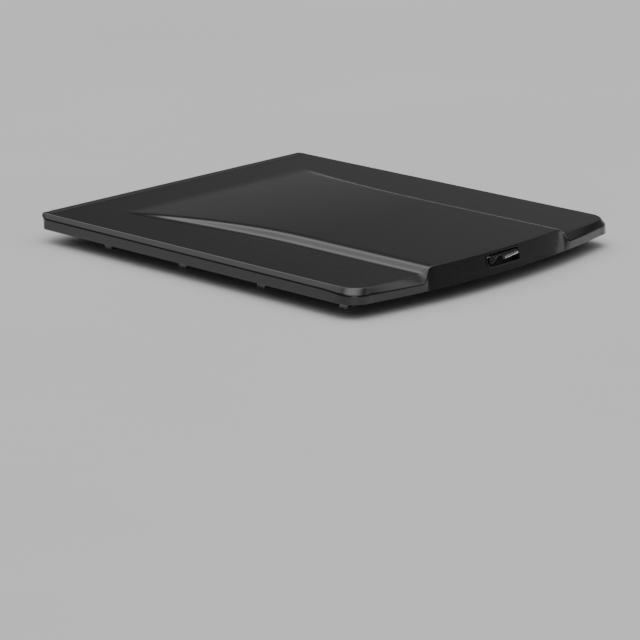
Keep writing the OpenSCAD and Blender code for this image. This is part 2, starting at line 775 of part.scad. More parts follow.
// ---------- handle, bellcrank and rods ----------
module face_box(x, y, z) {
    block([x[0], y[0], z[0]], [x[1], y[1], z[1]]);
}
module face_extrude(y0, y1) {
    translate([0, y1, 0]) rotate([90, 0, 0]) linear_extrude(y1 - y0) children();
}
module handle_bezel() {
    color([0.09, 0.09, 0.1]) difference() {
        face_frame() difference() {
            union() {
                face_extrude(-1.6, -0.3) pocket_outline(pocket_l - 6.5, pocket_r + 6.5,
                                                        pocket_low - 6.5, pocket_top + 5, 30, 11);
                face_extrude(-1.4, pocket_depth + wall_t)
                    pocket_outline(pocket_l - wall_t, pocket_r + wall_t,
                                   pocket_low - wall_t, pocket_top + wall_t, 26, 7);
            }
            face_extrude(-3, pocket_depth) pocket_outline(pocket_l, pocket_r, pocket_low, pocket_top, 24, 5);
            rod_x([1.5, paddle_y, paddle_z], handle_pin_r + run_fit, 228);
            face_box([17, 35], [pocket_depth - 1, pocket_depth + 5], [-12, 22]);
            translate([lock_x, 10, -2]) rotate([-90, 0, 0]) cylinder(r = 11.1, h = 40);
        }
    }
}
module handle_pin() {
    color([0.75, 0.75, 0.77]) face_frame() rod_x([1.5, paddle_y, paddle_z], handle_pin_r, 226);
}
knuckles = [[-46, -30], [60, 84]];
module handle() {
    color([0.04, 0.04, 0.045]) {
        difference() {
            face_frame() {
                face_extrude(2, 6) {
                    difference() {
                        hull() {
                            translate([lock_x, -3]) circle(r = 17, $fn = 48);
                            translate([lock_x + 34, 8]) circle(r = 9, $fn = 48);
                        }
                        translate([lock_x, -2]) circle(r = 12);
                    }
                    translate([lock_x + 30, 4]) square([78, 13]);
                    polygon([[0, -15], [111, -6], [111, 18], [0, 18]]);
                }
                for (k = knuckles) {
                    rod_x([(k[0] + k[1]) / 2, paddle_y, paddle_z], 5.6, k[1] - k[0]);
                    face_box(k, [5, paddle_y], [paddle_z - 5, paddle_z + 5]);
                }
                rod_x([26, paddle_y, paddle_z], 5.6, 12);
                face_box([20, 32], [5, paddle_y], [paddle_z - 5, paddle_z + 5]);
            }
            face_frame() rod_x([0, paddle_y, paddle_z], handle_pin_r + run_fit, 240);
        }
        finger_y = face_y + paddle_y * cos(face_tilt) - paddle_z * sin(face_tilt);
        finger_z = face_z + paddle_y * sin(face_tilt) + paddle_z * cos(face_tilt);
        block([20, finger_y + 4.5, finger_z - 3], [32, finger_y + 38, finger_z + 3]);
    }
}
module handle_strip() {
    color([0.8, 0.8, 0.82]) face_frame() face_extrude(-1.5, 1.9)
        polygon([[12, -13], [109, -5], [110, 7], [106, 9], [16, -3], [12, -7]]);
}
module lock_barrel() {
    color([0.7, 0.7, 0.72]) face_frame() difference() {
        translate([lock_x, 3, -2]) rotate([-90, 0, 0]) cylinder(r = 10.6, h = 28);
        translate([lock_x, 2, -2]) rotate([-90, 0, 0]) cylinder(r = plug_r + run_fit, h = 40);
    }
}
module lock_plug() {
    color([0.8, 0.8, 0.82]) face_frame() translate([lock_x, 0, -2]) rotate([-90, 0, 0]) {
        difference() {
            translate([0, 0, 2.4]) cylinder(r = plug_r, h = 34);
            translate([-0.8, -4, 1]) cube([1.6, 8, 9]);
        }
        translate([-6, -4, 33]) cube([26, 8, 3]);
    }
}
module bellcrank_plate() {
    back = crank_y - 3.5;
    color([0.62, 0.62, 0.64]) difference() {
        union() {
            block([-34, back - 3, 90], [50, back, 160]);
            block([-34, face_y + 21.7, 100], [-14, back - 2, 108]);
            block([40, face_y + 21.7, 100], [50, back - 2, 108]);
            rod_y([0, back + 0.5, crank_z], 8, 2);
        }
        block([15, back - 10, 118], [37, back + 5, 158]);
    }
    color([0.75, 0.75, 0.77]) rod_y([0, crank_y + 2, crank_z], 4, 15);
}
module bellcrank() {
    // Outer end of the nose that the handle's finger pushes down
    tab = [33, 31.7];
    color([0.7, 0.7, 0.66]) {
        difference() {
            plate_y(crank_y, crank_t) union() {
                translate([0, crank_z]) circle(r = 9);
                translate([-5, crank_z - crank_arm]) square([10, 2 * crank_arm]);
                for (s = sides) translate([0, crank_z + s * crank_arm]) circle(r = 5.5);
                translate([0, crank_z]) polygon([[0, 8], [10, 19.8], [20, 25.2], [tab[0] - 7, tab[1] - 1.7],
                                                 [tab[0] - 4, tab[1]], [tab[0] + 3, tab[1]],
                                                 [tab[0] + 3, tab[1] - 6], [8, -4]]);
            }
            rod_y([0, crank_y, crank_z], 4 + run_fit, 30);
        }
        for (s = sides)
            rod_y([0, crank_y + 6.5, crank_z + s * crank_arm], link_pin_r, 13);
    }
}
// Slotted eye: the link pin slides up and down in it as it swings
module rod_eye(x, y, z) {
    plate_y(y, 5) difference() {
        translate([x - 7, z - 11]) square([14, 22]);
        translate([x - link_pin_r - 0.7, z - 6.6]) square([2 * link_pin_r + 1.4, 13.2]);
    }
}
module latch_rod(s) {
    crank_pin_z = crank_z - s * crank_arm;
    a = [7, rod_eye_y, crank_pin_z];
    b = [70, rod_eye_y, crank_pin_z];
    c = [200, rod_line_y, rod_z];
    d = [pawl_x - 7, rod_line_y, rod_z];
    color([0.72, 0.72, 0.74]) right_or_left(s) {
        rod_eye(0, rod_eye_y, crank_pin_z);
        bar(a - [1, 0, 0], b, rod_r);
        bar(b, c, rod_r);
        bar(c, d, rod_r);
        translate(b) rotate([0, 0, -90]) sphere(r = bend_r);
        translate(c) rotate([0, 0, 90]) sphere(r = bend_r);
        rod_eye(pawl_x, rod_line_y, rod_z);
    }
}
module rod_guides() {
    color([0.2, 0.2, 0.21]) both() for (x = guide_x) difference() {
        block([x - 7, rod_line_y - 10, rod_z - 8], [x + 7, rod_line_y + 10, panel_z]);
        rod_x([x, rod_line_y, rod_z], rod_r + 1.2, 40);
    }
}

// ---------- small parts under the lid ----------
stop_y = [-650, 350];
module bump_stops() {
    color([0.06, 0.06, 0.06]) both() for (y = stop_y)
        translate([795, y, rail_top_z + gap]) {
            cylinder(r1 = 9, r2 = 12, h = 10);
            translate([0, 0, 10]) cylinder(r = 12, h = panel_z - rail_top_z - gap - 10);
        }
}
// Screws of the lid on the right side, pointing up into the panel
module leaf_screws(as_hole) {
    for (dx = [-18, 18]) for (y = [hinge_y - 75, hinge_y - 48])
        translate([hinge_x + dx, y, panel_z - 4]) mirror([0, 0, 1]) screw(2.5, 5, as_hole);
}
module ball_bracket_screws(as_hole) {
    for (dy = [-12, 12])
        translate([663, lid_ball_y + dy, panel_z - 4]) mirror([0, 0, 1]) screw(2.5, 5, as_hole);
}
module case_screws(as_hole) {
    for (p = [[672, 14], [734, 14], [702, -14], [734, -14]])
        translate([p[0], latch_y + p[1], panel_z - plate_t]) mirror([0, 0, 1]) screw(2.2, 5, as_hole);
}
module lid_screws(as_hole) {
    leaf_screws(as_hole);
    ball_bracket_screws(as_hole);
    case_screws(as_hole);
}
module lid_bolts() {
    color([0.72, 0.72, 0.74]) both() lid_screws(false);
}
lamp_at = [220, -830];
lens_gap = 2.5;
module lamp_base() {
    color([0.75, 0.75, 0.76]) translate([lamp_at[0], lamp_at[1], panel_z - 16]) difference() {
        block([-48, -30, 0], [48, 30, 16]);
        block([-40, -22, -1], [40, 22, 12]);
    }
}
module lamp_lens() {
    color([0.95, 0.95, 0.9]) translate([lamp_at[0], lamp_at[1], panel_z - 19])
        block([-39.5, -21.5, 0], [39.5, 21.5, 15 - lens_gap]);
}

mirror([1, 0, 0]) side_rail();  // side_rail_l
side_rail();  // side_rail_r
header_rail();
corner_brackets();
frame_bolts();
rail_tape();
clamp_bodies();
clamp_jaws();
clamp_bolts();
hinge_brackets();
hinge_pins();
hinge_clips();
strut_rail_brackets();
rail_ball_studs();
striker_brackets();
striker_bars();
lid_skin();
core_panel();
inner_panel();
cross_ribs();
rear_beams();
side_seals();
tailgate_seal();
hinge_leaves();
hinge_bushes();
lid_bolts();
strut_lid_brackets();
lid_ball_studs();
bump_stops();
handle_bezel();
handle_pin();
lock_barrel();
latch_case(-1);  // latch_case_l
latch_case(1);  // latch_case_r
latch_pivots();
bellcrank_plate();
rod_guides();
lamp_base();
handle();
handle_strip();
bellcrank();
latch_rod(-1);  // latch_rod_l
latch_rod(1);  // latch_rod_r
pawl(-1);  // pawl_l
pawl(1);  // pawl_r
rotor(-1);  // rotor_l
rotor(1);  // rotor_r
lock_plug();
lamp_lens();
strut_tube(-1);  // strut_tube_l
strut_tube(1);  // strut_tube_r
strut_rod(-1);  // strut_rod_l
strut_rod(1);  // strut_rod_r
tube_end(-1);  // tube_end_l
tube_end(1);  // tube_end_r
rod_end(-1);  // rod_end_l
rod_end(1);  // rod_end_r
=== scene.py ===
"""Looks of a front-hinged pickup tonneau cover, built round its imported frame.

Metres, +X to the truck's right, +Y to the cab, +Z up.
"""

import json
import math

import bmesh
import bpy
import numpy as np
from mathutils import Matrix, Vector


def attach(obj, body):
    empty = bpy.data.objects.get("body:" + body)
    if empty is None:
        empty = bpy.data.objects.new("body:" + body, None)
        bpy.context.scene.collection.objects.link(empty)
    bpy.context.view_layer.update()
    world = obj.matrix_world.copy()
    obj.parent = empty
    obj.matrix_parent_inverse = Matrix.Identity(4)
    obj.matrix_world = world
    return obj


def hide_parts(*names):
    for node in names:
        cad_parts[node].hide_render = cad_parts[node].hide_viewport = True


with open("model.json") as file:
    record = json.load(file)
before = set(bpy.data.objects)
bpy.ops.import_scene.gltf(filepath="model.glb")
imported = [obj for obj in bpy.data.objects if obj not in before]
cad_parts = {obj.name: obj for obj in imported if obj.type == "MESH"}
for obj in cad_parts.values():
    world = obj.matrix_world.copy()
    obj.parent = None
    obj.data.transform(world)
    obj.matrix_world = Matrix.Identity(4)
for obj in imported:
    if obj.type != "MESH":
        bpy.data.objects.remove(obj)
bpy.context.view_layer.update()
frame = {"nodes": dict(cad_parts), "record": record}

# ---------------------------------------------------------------- sizes
SKIRT_Z = 0.072
DECK_Z = 0.143
DOME_H = 0.033
SKIN_T = 0.004
HALF_W = 0.925
LIP_X = 0.896
FRONT_Y = 1.076
REAR_MID_Y = -1.076
BOW_K = 0.106 / HALF_W**2
CORNER_R = 0.110
RAMP_START_Y = 0.763
RAMP_FULL_Y = -0.272
FOOT_FRONT, FOOT_REAR = 0.627, 0.508
CREST_FRONT, CREST_REAR = 0.603, 0.460
DOME_REAR_Y = -1.050
DOME_BOW = 0.9
LIP_CORNER_Y = -0.954
DECK_CORNER_Y = -1.005
LIP_CORNER_R = 0.085
LIP_R = 0.005
SHOULDER_R = 0.006
SIDE_INSET, REAR_INSET = 0.007, 0.002
FRONT_SHOULDER, FRONT_HEM = 0.010, 0.025
SIDE_SHOULDER, CORNER_SHOULDER, REAR_SHOULDER = 0.021, 0.0257, 0.033
CREST_SHOULDER = 0.060
FRONT_SHOULDER_SCALE, FRONT_HEM_SCALE = 1.0067, 1.0033
FRONT_SHOULDER_PULL, FRONT_HEM_PULL = (0.012, 0.002), (0.022, 0.004)
FRONT_EASE, HEM_EASE, SHOULDER_EASE = 0.048, 0.056, 0.20
SKIRT_STEP = 0.002
FACE_STEP = 0.0015
RAMP_SOFTNESS = 0.012
BEAD_FADE = 0.04
SHARP_ANGLE = math.radians(40)
SKIN_SHARP_ANGLE = math.radians(38)
EDGE_X = 0.860
BEAD_Y, BEAD_HALF, BEAD_H = 1.046, 0.026, 0.008
FACE_TILT = math.radians(-14)
FACE_Y, FACE_Z = -1.0593, 0.139
POCKET_LEFT, POCKET_RIGHT = -0.1135, 0.1175
POCKET_LOW, POCKET_TOP = -0.0355, 0.0295
POCKET_R_LEFT, POCKET_R_RIGHT = 0.028, 0.009
POCKET_CUT = (-0.03, 0.04)


# ---------------------------------------------------------------- node helpers
def new_material(name):
    mat = bpy.data.materials.new(name)
    mat.use_nodes = True
    nodes = mat.node_tree.nodes
    bsdf = nodes["Principled BSDF"]
    return mat, nodes, mat.node_tree.links, bsdf


def coords(nodes, links, scale=(1, 1, 1)):
    tex = nodes.new("ShaderNodeTexCoord")
    mapping = nodes.new("ShaderNodeMapping")
    mapping.inputs["Scale"].default_value = scale
    links.new(tex.outputs["Object"], mapping.inputs["Vector"])
    return mapping.outputs["Vector"]


def noise(nodes, links, vector, scale, detail=4, rough=0.55):
    n = nodes.new("ShaderNodeTexNoise")
    n.inputs["Scale"].default_value = scale
    n.inputs["Detail"].default_value = detail
    n.inputs["Roughness"].default_value = rough
    links.new(vector, n.inputs["Vector"])
    return n.outputs["Fac"]


def ramp(nodes, links, fac, stops):
    r = nodes.new("ShaderNodeValToRGB")
    el = r.color_ramp.elements
    el[0].position, el[0].color = stops[0][0], grey(stops[0][1])
    el[1].position, el[1].color = stops[-1][0], grey(stops[-1][1])
    for pos, value in stops[1:-1]:
        e = el.new(pos)
        e.color = grey(value)
    links.new(fac, r.inputs["Fac"])
    return r.outputs["Color"]


def grey(value):
    if isinstance(value, (int, float)):
        return (value, value, value, 1)
    return (*value, 1)


def bump(nodes, links, bsdf, height, strength, distance):
    b = nodes.new("ShaderNodeBump")
    b.inputs["Strength"].default_value = strength
    b.inputs["Distance"].default_value = distance
    links.new(height, b.inputs["Height"])
    links.new(b.outputs["Normal"], bsdf.inputs["Normal"])


# ---------------------------------------------------------------- materials
def paint_black():
    """Clear-coated gloss black: deep base, faint orange peel, a trace of dust."""
    mat, nodes, links, bsdf = new_material("gloss_black_paint")
    pos = coords(nodes, links)
    dust = noise(nodes, links, pos, 3.2, 6, 0.6)
    fine = noise(nodes, links, pos, 140, 1)
    tone = ramp(nodes, links, dust, [(0.35, (0.003, 0.003, 0.0034)), (0.75, (0.0055, 0.0054, 0.0056))])
    links.new(tone, bsdf.inputs["Base Color"])
    links.new(ramp(nodes, links, dust, [(0.3, 0.24), (0.8, 0.34)]), bsdf.inputs["Roughness"])
    bump(nodes, links, bsdf, fine, 0.03, 0.0003)
    bsdf.inputs["Coat Weight"].default_value = 1.0
    bsdf.inputs["Coat Roughness"].default_value = 0.05
    bsdf.inputs["Coat IOR"].default_value = 1.5
    bsdf.inputs["Specular IOR Level"].default_value = 0.35
    return mat


def moulded(name, base, rough, grain=900.0, depth=0.0003, strength=0.35):
    """Moulded plastic with a fine leather-like grain and uneven sheen."""
    mat, nodes, links, bsdf = new_material(name)
    pos = coords(nodes, links)
    vor = nodes.new("ShaderNodeTexVoronoi")
    vor.inputs["Scale"].default_value = grain
    links.new(pos, vor.inputs["Vector"])
    patch = noise(nodes, links, pos, 9, 5)
    light = tuple(min(1.0, c * 1.35 + 0.004) for c in base)
    dark = tuple(c * 0.8 for c in base)
    links.new(ramp(nodes, links, patch, [(0.3, dark), (0.75, light)]), bsdf.inputs["Base Color"])
    links.new(ramp(nodes, links, patch, [(0.3, rough - 0.06), (0.75, rough + 0.08)]),
              bsdf.inputs["Roughness"])
    bump(nodes, links, bsdf, vor.outputs["Distance"], strength, depth)
    return mat


def metal(name, base, rough, brushed=(1, 1, 1), scratch=0.12, tint=None, metallic=1.0):
    """Metal with brushed or cast relief, and stains in its colour and roughness."""
    mat, nodes, links, bsdf = new_material(name)
    pos = coords(nodes, links)
    lined = coords(nodes, links, brushed)
    stain = noise(nodes, links, pos, 26, 6, 0.6)
    lines = noise(nodes, links, lined, 700, 3)
    other = tint or tuple(c * 0.72 for c in base)
    links.new(ramp(nodes, links, stain, [(0.32, other), (0.68, base)]), bsdf.inputs["Base Color"])
    links.new(ramp(nodes, links, stain, [(0.3, rough + 0.1), (0.7, max(0.04, rough - 0.05))]),
              bsdf.inputs["Roughness"])
    bsdf.inputs["Metallic"].default_value = metallic
    bump(nodes, links, bsdf, lines, scratch, 0.0002)
    return mat


def rubber():
    """Matt black EPDM with a fine closed-cell skin and a little bloom."""
    mat, nodes, links, bsdf = new_material("seal_rubber")
    pos = coords(nodes, links)
    cells = noise(nodes, links, pos, 1400, 3)
    bloom = noise(nodes, links, pos, 14, 5)
    links.new(ramp(nodes, links, bloom, [(0.35, 0.008), (0.8, 0.022)]), bsdf.inputs["Base Color"])
    links.new(ramp(nodes, links, bloom, [(0.3, 0.62), (0.8, 0.8)]), bsdf.inputs["Roughness"])
    bump(nodes, links, bsdf, cells, 0.3, 0.0003)
    return mat


def powder(name, base, rough=0.42):
    """Powder coat: satin with a pebbled surface."""
    mat, nodes, links, bsdf = new_material(name)
    pos = coords(nodes, links)
    pebble = noise(nodes, links, pos, 900, 2)
    patch = noise(nodes, links, pos, 12, 4)
    links.new(ramp(nodes, links, patch, [(0.3, tuple(c * 0.8 for c in base)), (0.7, base)]),
              bsdf.inputs["Base Color"])
    links.new(ramp(nodes, links, patch, [(0.3, rough), (0.7, rough + 0.1)]), bsdf.inputs["Roughness"])
    bump(nodes, links, bsdf, pebble, 0.25, 0.0004)
    return mat


MAT = {
    "gloss_black_paint": paint_black(),
    "core_honeycomb": moulded("core_honeycomb", (0.45, 0.4, 0.3), 0.8, 1500),
    "panel_black": moulded("panel_black", (0.030, 0.030, 0.032), 0.5, 650, 0.0005, 0.5),
    "handle_black": moulded("handle_black", (0.012, 0.012, 0.013), 0.24, 1800, 0.0001, 0.1),
    "satin_chrome": metal("satin_chrome", (0.82, 0.82, 0.84), 0.2, (1, 30, 30), 0.05),
    "rail_black": metal("rail_black", (0.030, 0.030, 0.033), 0.34, (30, 1, 30), 0.1, None, 0.6),
    "cast_alloy": metal("cast_alloy", (0.52, 0.52, 0.54), 0.42, (1, 1, 1), 0.35),
    "zinc_steel": metal("zinc_steel", (0.62, 0.63, 0.65), 0.28, (1, 1, 1), 0.08, (0.5, 0.52, 0.56)),
    "yellow_zinc": metal("yellow_zinc", (0.60, 0.50, 0.25), 0.33, (1, 1, 1), 0.1, (0.52, 0.34, 0.30)),
    "bracket_steel": powder("bracket_steel", (0.035, 0.035, 0.037)),
    "bush_nylon": moulded("bush_nylon", (0.70, 0.67, 0.58), 0.45, 1600, 0.0001, 0.15),
    "seal_rubber": rubber(),
    "strut_black": powder("strut_black", (0.014, 0.014, 0.015), 0.22),
    "strut_chrome": metal("strut_chrome", (0.85, 0.85, 0.87), 0.08, (1, 1, 1), 0.02),
    "lock_black": metal("lock_black", (0.05, 0.05, 0.053), 0.3, (1, 1, 1), 0.05, None, 0.7),
    "end_plastic": moulded("end_plastic", (0.02, 0.02, 0.021), 0.38, 1500, 0.0002, 0.2),
    "lamp_white": moulded("lamp_white", (0.62, 0.62, 0.6), 0.35, 1500, 0.0001, 0.15),
    "lamp_lens": moulded("lamp_lens", (0.80, 0.80, 0.74), 0.2, 300, 0.0004, 0.4),
}
for part in frame["record"]["subparts"]:
    node = frame["nodes"][part["node"]]
    node.data.materials.clear()
    node.data.materials.append(MAT[part["material_slot"]])
SLOT_OF = {p["node"]: p["material_slot"] for p in frame["record"]["subparts"]}
BODY_OF = {n: b for b, ns in frame["record"]["behaviour"]["bodies"].items() for n in ns}


# ---------------------------------------------------------------- piece helpers
def add_piece(name, mesh, body, slot, replaced=()):
    obj = bpy.data.objects.new(name, mesh)
    bpy.context.scene.collection.objects.link(obj)
    mesh.materials.clear()
    mesh.materials.append(MAT[slot])
    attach(obj, body)
    if replaced:
        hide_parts(*replaced)
    return obj


def softened(node, width, segments=2, angle=32):
    """A copy of a CAD node with its edges rounded, standing for the node."""
    bm = bmesh.new()
    bm.from_mesh(frame["nodes"][node].data)
    bmesh.ops.remove_doubles(bm, verts=bm.verts, dist=1e-6)
    bmesh.ops.dissolve_limit(bm, angle_limit=math.radians(1.0), verts=bm.verts, edges=bm.edges)
    sharp = [e for e in bm.edges if len(e.link_faces) == 2 and e.calc_face_angle(0) > math.radians(angle)]
    bmesh.ops.bevel(bm, geom=sharp, offset=width, offset_type="OFFSET", segments=segments,
                    profile=0.5, affect="EDGES", clamp_overlap=True, harden_normals=False)
    bmesh.ops.triangulate(bm, faces=[f for f in bm.faces if len(f.verts) > 4])
    mesh = bpy.data.meshes.new(node + "_fine")
    bm.to_mesh(mesh)
    bm.free()
    mesh.shade_smooth()
    mesh.set_sharp_from_angle(angle=SHARP_ANGLE)
    return add_piece(node + "_fine", mesh, BODY_OF[node], SLOT_OF[node], (node,))


# ---------------------------------------------------------------- lid skin surface
def clamp01(t):
    return max(0.0, min(1.0, t))


def rear_outline_y(x):
    return REAR_MID_Y + BOW_K * x * x


def rise(y):
    if y < RAMP_FULL_Y:
        return DOME_H
    if y > RAMP_START_Y:
        return 0.0
    t = (y - RAMP_FULL_Y) / (RAMP_START_Y - RAMP_FULL_Y)
    return DOME_H * (1 - t * t)


def ramp_share(y):
    return math.sin(math.pi / 2 * clamp01((RAMP_START_Y - y) / (RAMP_START_Y - RAMP_FULL_Y)))


def foot_x(y):
    return FOOT_FRONT + (FOOT_REAR - FOOT_FRONT) * ramp_share(y)


def crest_x(y):
    return CREST_FRONT + (CREST_REAR - CREST_FRONT) * ramp_share(y)


def bead(y):
    return BEAD_H * math.cos(math.pi / 2 * min(1, abs(y - BEAD_Y) / BEAD_HALF)) ** 2


def smooth_rise(y):
    return sum(rise(y + k * RAMP_SOFTNESS) for k in range(-3, 4)) / 7


def col_x(u, y):
    """X of a column: u is 0 at the border, 1 at EDGE_X, 2 at the foot, 3 at the crest, 4 on the centre line."""
    if u < 1:
        return LIP_X - LIP_R + (EDGE_X - LIP_X + LIP_R) * u
    if u < 2:
        return EDGE_X + (foot_x(y) - EDGE_X) * (u - 1)
    if u < 3:
        return foot_x(y) + (crest_x(y) - foot_x(y)) * (u - 2)
    return crest_x(y) * (4 - u)


def dome_edge_y(x):
    """Rear edge of the centre panel: bowed nearly as much as the rear outline below it."""
    return DOME_REAR_Y + DOME_BOW * BOW_K * x * x


def deck_rear_y(u):
    """Rear end of the deck along a column, one lip radius inside the lip."""
    if u <= 2:
        d = LIP_X - LIP_R - col_x(u, DOME_REAR_Y)
        r = LIP_CORNER_R - LIP_R
        y = LIP_CORNER_Y + (DECK_CORNER_Y - LIP_CORNER_Y) * math.sqrt(clamp01(d / (LIP_X - FOOT_REAR)))
        return y + LIP_R + r - math.sqrt(r * r - max(0.0, r - d) ** 2)
    if u < 3:
        return DECK_CORNER_Y + (dome_edge_y(CREST_REAR) - DECK_CORNER_Y) * (u - 2) + LIP_R
    return dome_edge_y(col_x(u, DOME_REAR_Y)) + LIP_R


def deck_height(x, y, u):
    return DECK_Z + smooth_rise(y) * clamp01(u - 2) + bead(y) * clamp01((LIP_X - x) / BEAD_FADE)


def deck_point(u, t):
    y = FRONT_Y - LIP_R - t * (FRONT_Y - LIP_R - deck_rear_y(u))
    x = col_x(u, y)
    return np.array([x, y, deck_height(x, y, u)])


def corner_angle(p):
    """Angle round the lip's rear corner: 0 at the side, a right angle along the rear."""
    return math.atan2(LIP_CORNER_Y + LIP_CORNER_R - p[1], max(0.0, abs(p[0]) - LIP_X + LIP_CORNER_R))


def lip_point(kind, above, u):
    """The lip outside a point on the deck's border."""
    if kind == "front":
        return np.array([above[0], FRONT_Y, deck_height(abs(above[0]), FRONT_Y, u)])
    if kind == "side":
        return above + (math.copysign(LIP_R, above[0]), 0, 0)
    a = corner_angle(above)
    return above + (math.copysign(LIP_R * math.cos(a), above[0]), -LIP_R * math.sin(a), 0)


def bezier(a, b, c, s):
    return a * (1 - s) ** 2 + b * (2 * s * (1 - s)) + c * s * s


def column_point(col, t, side):
    """A point on a column; a fillet's columns follow a Bezier curve that three others shape."""
    a, b, c, s = col
    p = deck_point(a, t) if a == c else bezier(deck_point(a, t), deck_point(b, t), deck_point(c, t), s)
    return p * (side, 1, 1)


CORNER_X = HALF_W - CORNER_R
CORNER_Y = rear_outline_y(CORNER_X) + CORNER_R


def arc_run(d, inset):
    return math.sqrt(max(0.0, (CORNER_R - inset) ** 2 - d * d))


def side_xy(p, inset):
    x = max(LIP_X + SKIRT_STEP, CORNER_X + arc_run(max(0.0, CORNER_Y - p[1]), inset))
    return np.array([math.copysign(x, p[0]), p[1]])


def rear_xy(p, inset):
    a = corner_angle(p)
    if a < math.pi / 2 - 1e-6:
        r = CORNER_R - inset
        x, y = math.copysign(CORNER_X + r * math.cos(a), p[0]), CORNER_Y - r * math.sin(a)
    else:
        x, y = p[0], rear_outline_y(p[0]) + inset
    return np.array([x, min(p[1] - SKIRT_STEP * math.sin(a), y)])


def ease(t):
    t = clamp01(t)
    return t * t * (3 - 2 * t)


def skirt_points(kind, p, u):
    """Shoulder and hem under a lip point."""
    if kind == "front":
        near = ease((abs(p[0]) - LIP_X + HEM_EASE) / HEM_EASE)
        shoulder = np.array([p[0] * FRONT_SHOULDER_SCALE, FRONT_Y, DECK_Z - FRONT_SHOULDER])
        hem = np.array([p[0] * FRONT_HEM_SCALE, FRONT_Y - 0.001 - 0.002 * near, DECK_Z - FRONT_HEM])
        return shoulder, hem
    if kind == "rear":
        share = clamp01(u - 2)
        turn = ease(corner_angle(p) / (math.pi / 2))
        x, y = rear_xy(p, SIDE_INSET + (REAR_INSET - SIDE_INSET) * turn)
        drop = CORNER_SHOULDER + (REAR_SHOULDER - CORNER_SHOULDER) * turn - CREST_SHOULDER * share
        shoulder = np.array([x, y + (p[1] - FACE_STEP - y) * share, DECK_Z - drop])
        return shoulder, np.append(rear_xy(p, 0), SKIRT_Z)
    drop = ease((CORNER_Y + SHOULDER_EASE / 2 - p[1]) / SHOULDER_EASE)
    front = ease((p[1] - FRONT_Y + FRONT_EASE) / FRONT_EASE)
    x, y = side_xy(p, SIDE_INSET)
    pull_x, pull_y = FRONT_SHOULDER_PULL
    z = DECK_Z - SIDE_SHOULDER - (REAR_SHOULDER - SIDE_SHOULDER) * drop
    z += (SIDE_SHOULDER - FRONT_SHOULDER) * front
    shoulder = np.array([x - math.copysign(pull_x * front, x), y - pull_y * front, z])
    x, y = side_xy(p, 0)
    pull_x, pull_y = FRONT_HEM_PULL
    z = SKIRT_Z + (DECK_Z - FRONT_HEM - SKIRT_Z) * front
    hem = np.array([x - math.copysign(pull_x * front, x), y - pull_y * front, z])
    return shoulder, hem


def skin_mesh():
    """The skin's outer surface: a deck of rows and columns, with a skirt of rings round it."""
    flats = [0, 0.04, 0.15, 0.33, 0.55, 0.8, 1.0, 1.03, 1.06, 1.1]
    flats += [1.14, 1.2, 1.28, 1.38, 1.5, 1.62, 1.74, 1.84, 1.9]
    half = [(u, u, u, 0) for u in flats]
    half += [(1.94, 2.0, 2.34, s / 9) for s in range(10)]
    half += [(2.45, 2.45, 2.45, 0), (2.57, 2.57, 2.57, 0)]
    half += [(2.68, 3.0, 3.05, s / 9) for s in range(10)]
    half += [(u, u, u, 0) for u in np.linspace(3.09, 4.0, 36)]
    cols = [(c, -1) for c in half] + [(c, 1) for c in reversed(half[:-1])]
    ts = list(np.linspace(0, 0.028, 20)) + list(np.linspace(0.036, 0.985, 92)) + [0.990, 0.995, 1.0]
    verts = [column_point(c, t, s) for t in ts for c, s in cols]
    n_col, n_row = len(cols), len(ts)
    faces = []
    for i in range(n_row - 1):
        for j in range(n_col - 1):
            a = i * n_col + j
            faces.append((a, a + 1, a + n_col + 1, a + n_col))

    def params(j):
        c, s = cols[j]
        return float(bezier(c[0], c[1], c[2], c[3]))

    last = (n_row - 1) * n_col
    stations = [(j, "front", params(j)) for j in range(n_col)]
    stations += [(i * n_col + n_col - 1, "side", 0) for i in range(n_row)]
    stations += [(last + j, "rear", params(j)) for j in range(n_col - 1, -1, -1)]
    stations += [(i * n_col, "side", 0) for i in range(n_row - 1, -1, -1)]

    rings = []
    for top, kind, u in stations:
        lip = lip_point(kind, verts[top], u)
        shoulder, hem = skirt_points(kind, lip, u)
        above = verts[top]
        fall = shoulder - lip
        run = np.linalg.norm(fall)
        down = hem - shoulder
        drop = np.linalg.norm(down)
        c = lip + fall * min(LIP_R, 0.6 * run) / run
        d = shoulder - fall * min(SHOULDER_R, 0.35 * run) / run
        e = shoulder + down * min(SHOULDER_R, 0.3 * drop) / drop
        line = [top]
        path = [bezier(above, lip, c, s / 5) for s in range(1, 6)]
        path += [c + (d - c) * s / 3 for s in (1, 2)]
        path += [bezier(d, shoulder, e, s / 5) for s in range(6)]
        path += [e + (hem - e) * s / 9 for s in range(1, 10)]
        for p in path:
            line.append(len(verts))
            verts.append(p)
        rings.append(line)
    for k, line in enumerate(rings):
        nxt = rings[(k + 1) % len(rings)]
        for m in range(len(line) - 1):
            quad = []
            for v in (line[m], line[m + 1], nxt[m + 1], nxt[m]):
                if v not in quad:
                    quad.append(v)
            faces.append(tuple(quad))
    mesh = bpy.data.meshes.new("lid_skin_fine")
    mesh.from_pydata([tuple(v) for v in verts], [], faces)
    bm = bmesh.new()
    bm.from_mesh(mesh)
    bmesh.ops.remove_doubles(bm, verts=bm.verts, dist=1e-5)
    bmesh.ops.recalc_face_normals(bm, faces=bm.faces)
    if max(bm.faces, key=lambda f: f.calc_center_median().z).normal.z < 0:
        bmesh.ops.reverse_faces(bm, faces=bm.faces)
    bm.to_mesh(mesh)
    bm.free()
    return mesh


def applied(obj):
    """The object's mesh with its modifiers applied; the object is removed."""
    graph = bpy.context.evaluated_depsgraph_get()
    mesh = bpy.data.meshes.new_from_object(obj.evaluated_get(graph))
    bpy.data.objects.remove(obj)
    return mesh


def linked(name, mesh):
    obj = bpy.data.objects.new(name, mesh)
    bpy.context.scene.collection.objects.link(obj)
    return obj


